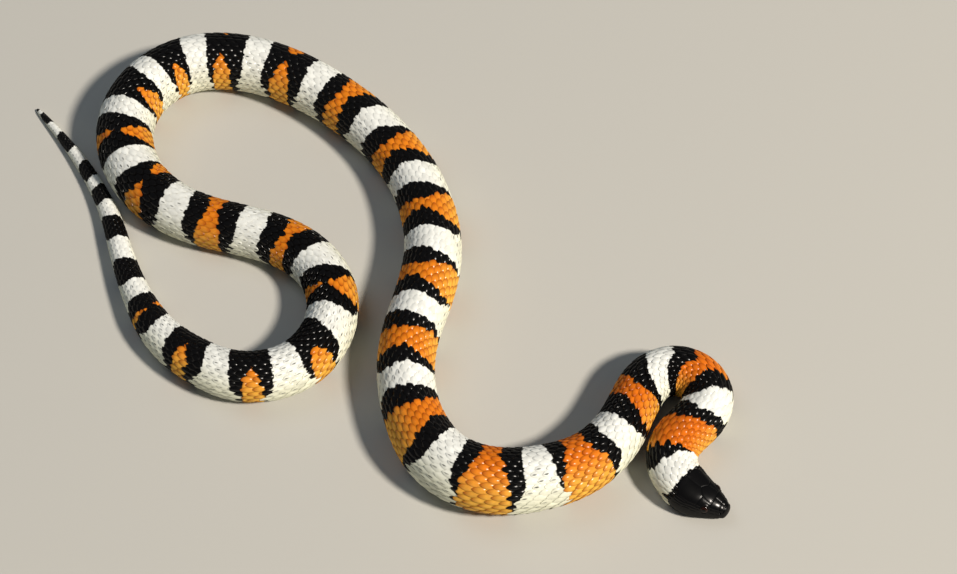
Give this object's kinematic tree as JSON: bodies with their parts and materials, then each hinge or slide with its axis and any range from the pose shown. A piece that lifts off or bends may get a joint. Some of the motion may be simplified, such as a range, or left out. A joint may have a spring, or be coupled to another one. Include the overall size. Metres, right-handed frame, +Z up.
{
  "type": "milk snake",
  "caption": "Still, life-size model of a milk snake lying on its belly in loose curves, black head at one end, banded body, thin tail.",
  "frame": {"origin": "on the floor, under the middle of the box round the laid-out body", "axes": "+Z up, +X to the right and +Y away from the viewer as the picture shows the snake, head at +X -Y and tail at -X +Y"},
  "size_m": [0.1956, 0.16, 0.0167],
  "materials": {
    "banded_scales": "smooth glossy scales in white, black and orange rings",
    "black_scales": "glossy black head plates",
    "eye": "polished, under a clear scale"
  },
  "bodies": {
    "root": {"head": "black_scales", "eye_left": "eye", "eye_right": "eye", "neck_1": "banded_scales", "neck_2": "banded_scales", "body_1": "banded_scales", "body_2": "banded_scales", "body_3": "banded_scales", "body_4": "banded_scales", "body_5": "banded_scales", "body_6": "banded_scales", "body_7": "banded_scales", "body_8": "banded_scales", "body_9": "banded_scales", "tail_1": "banded_scales", "tail_2": "banded_scales"}
  },
  "joints": []
}
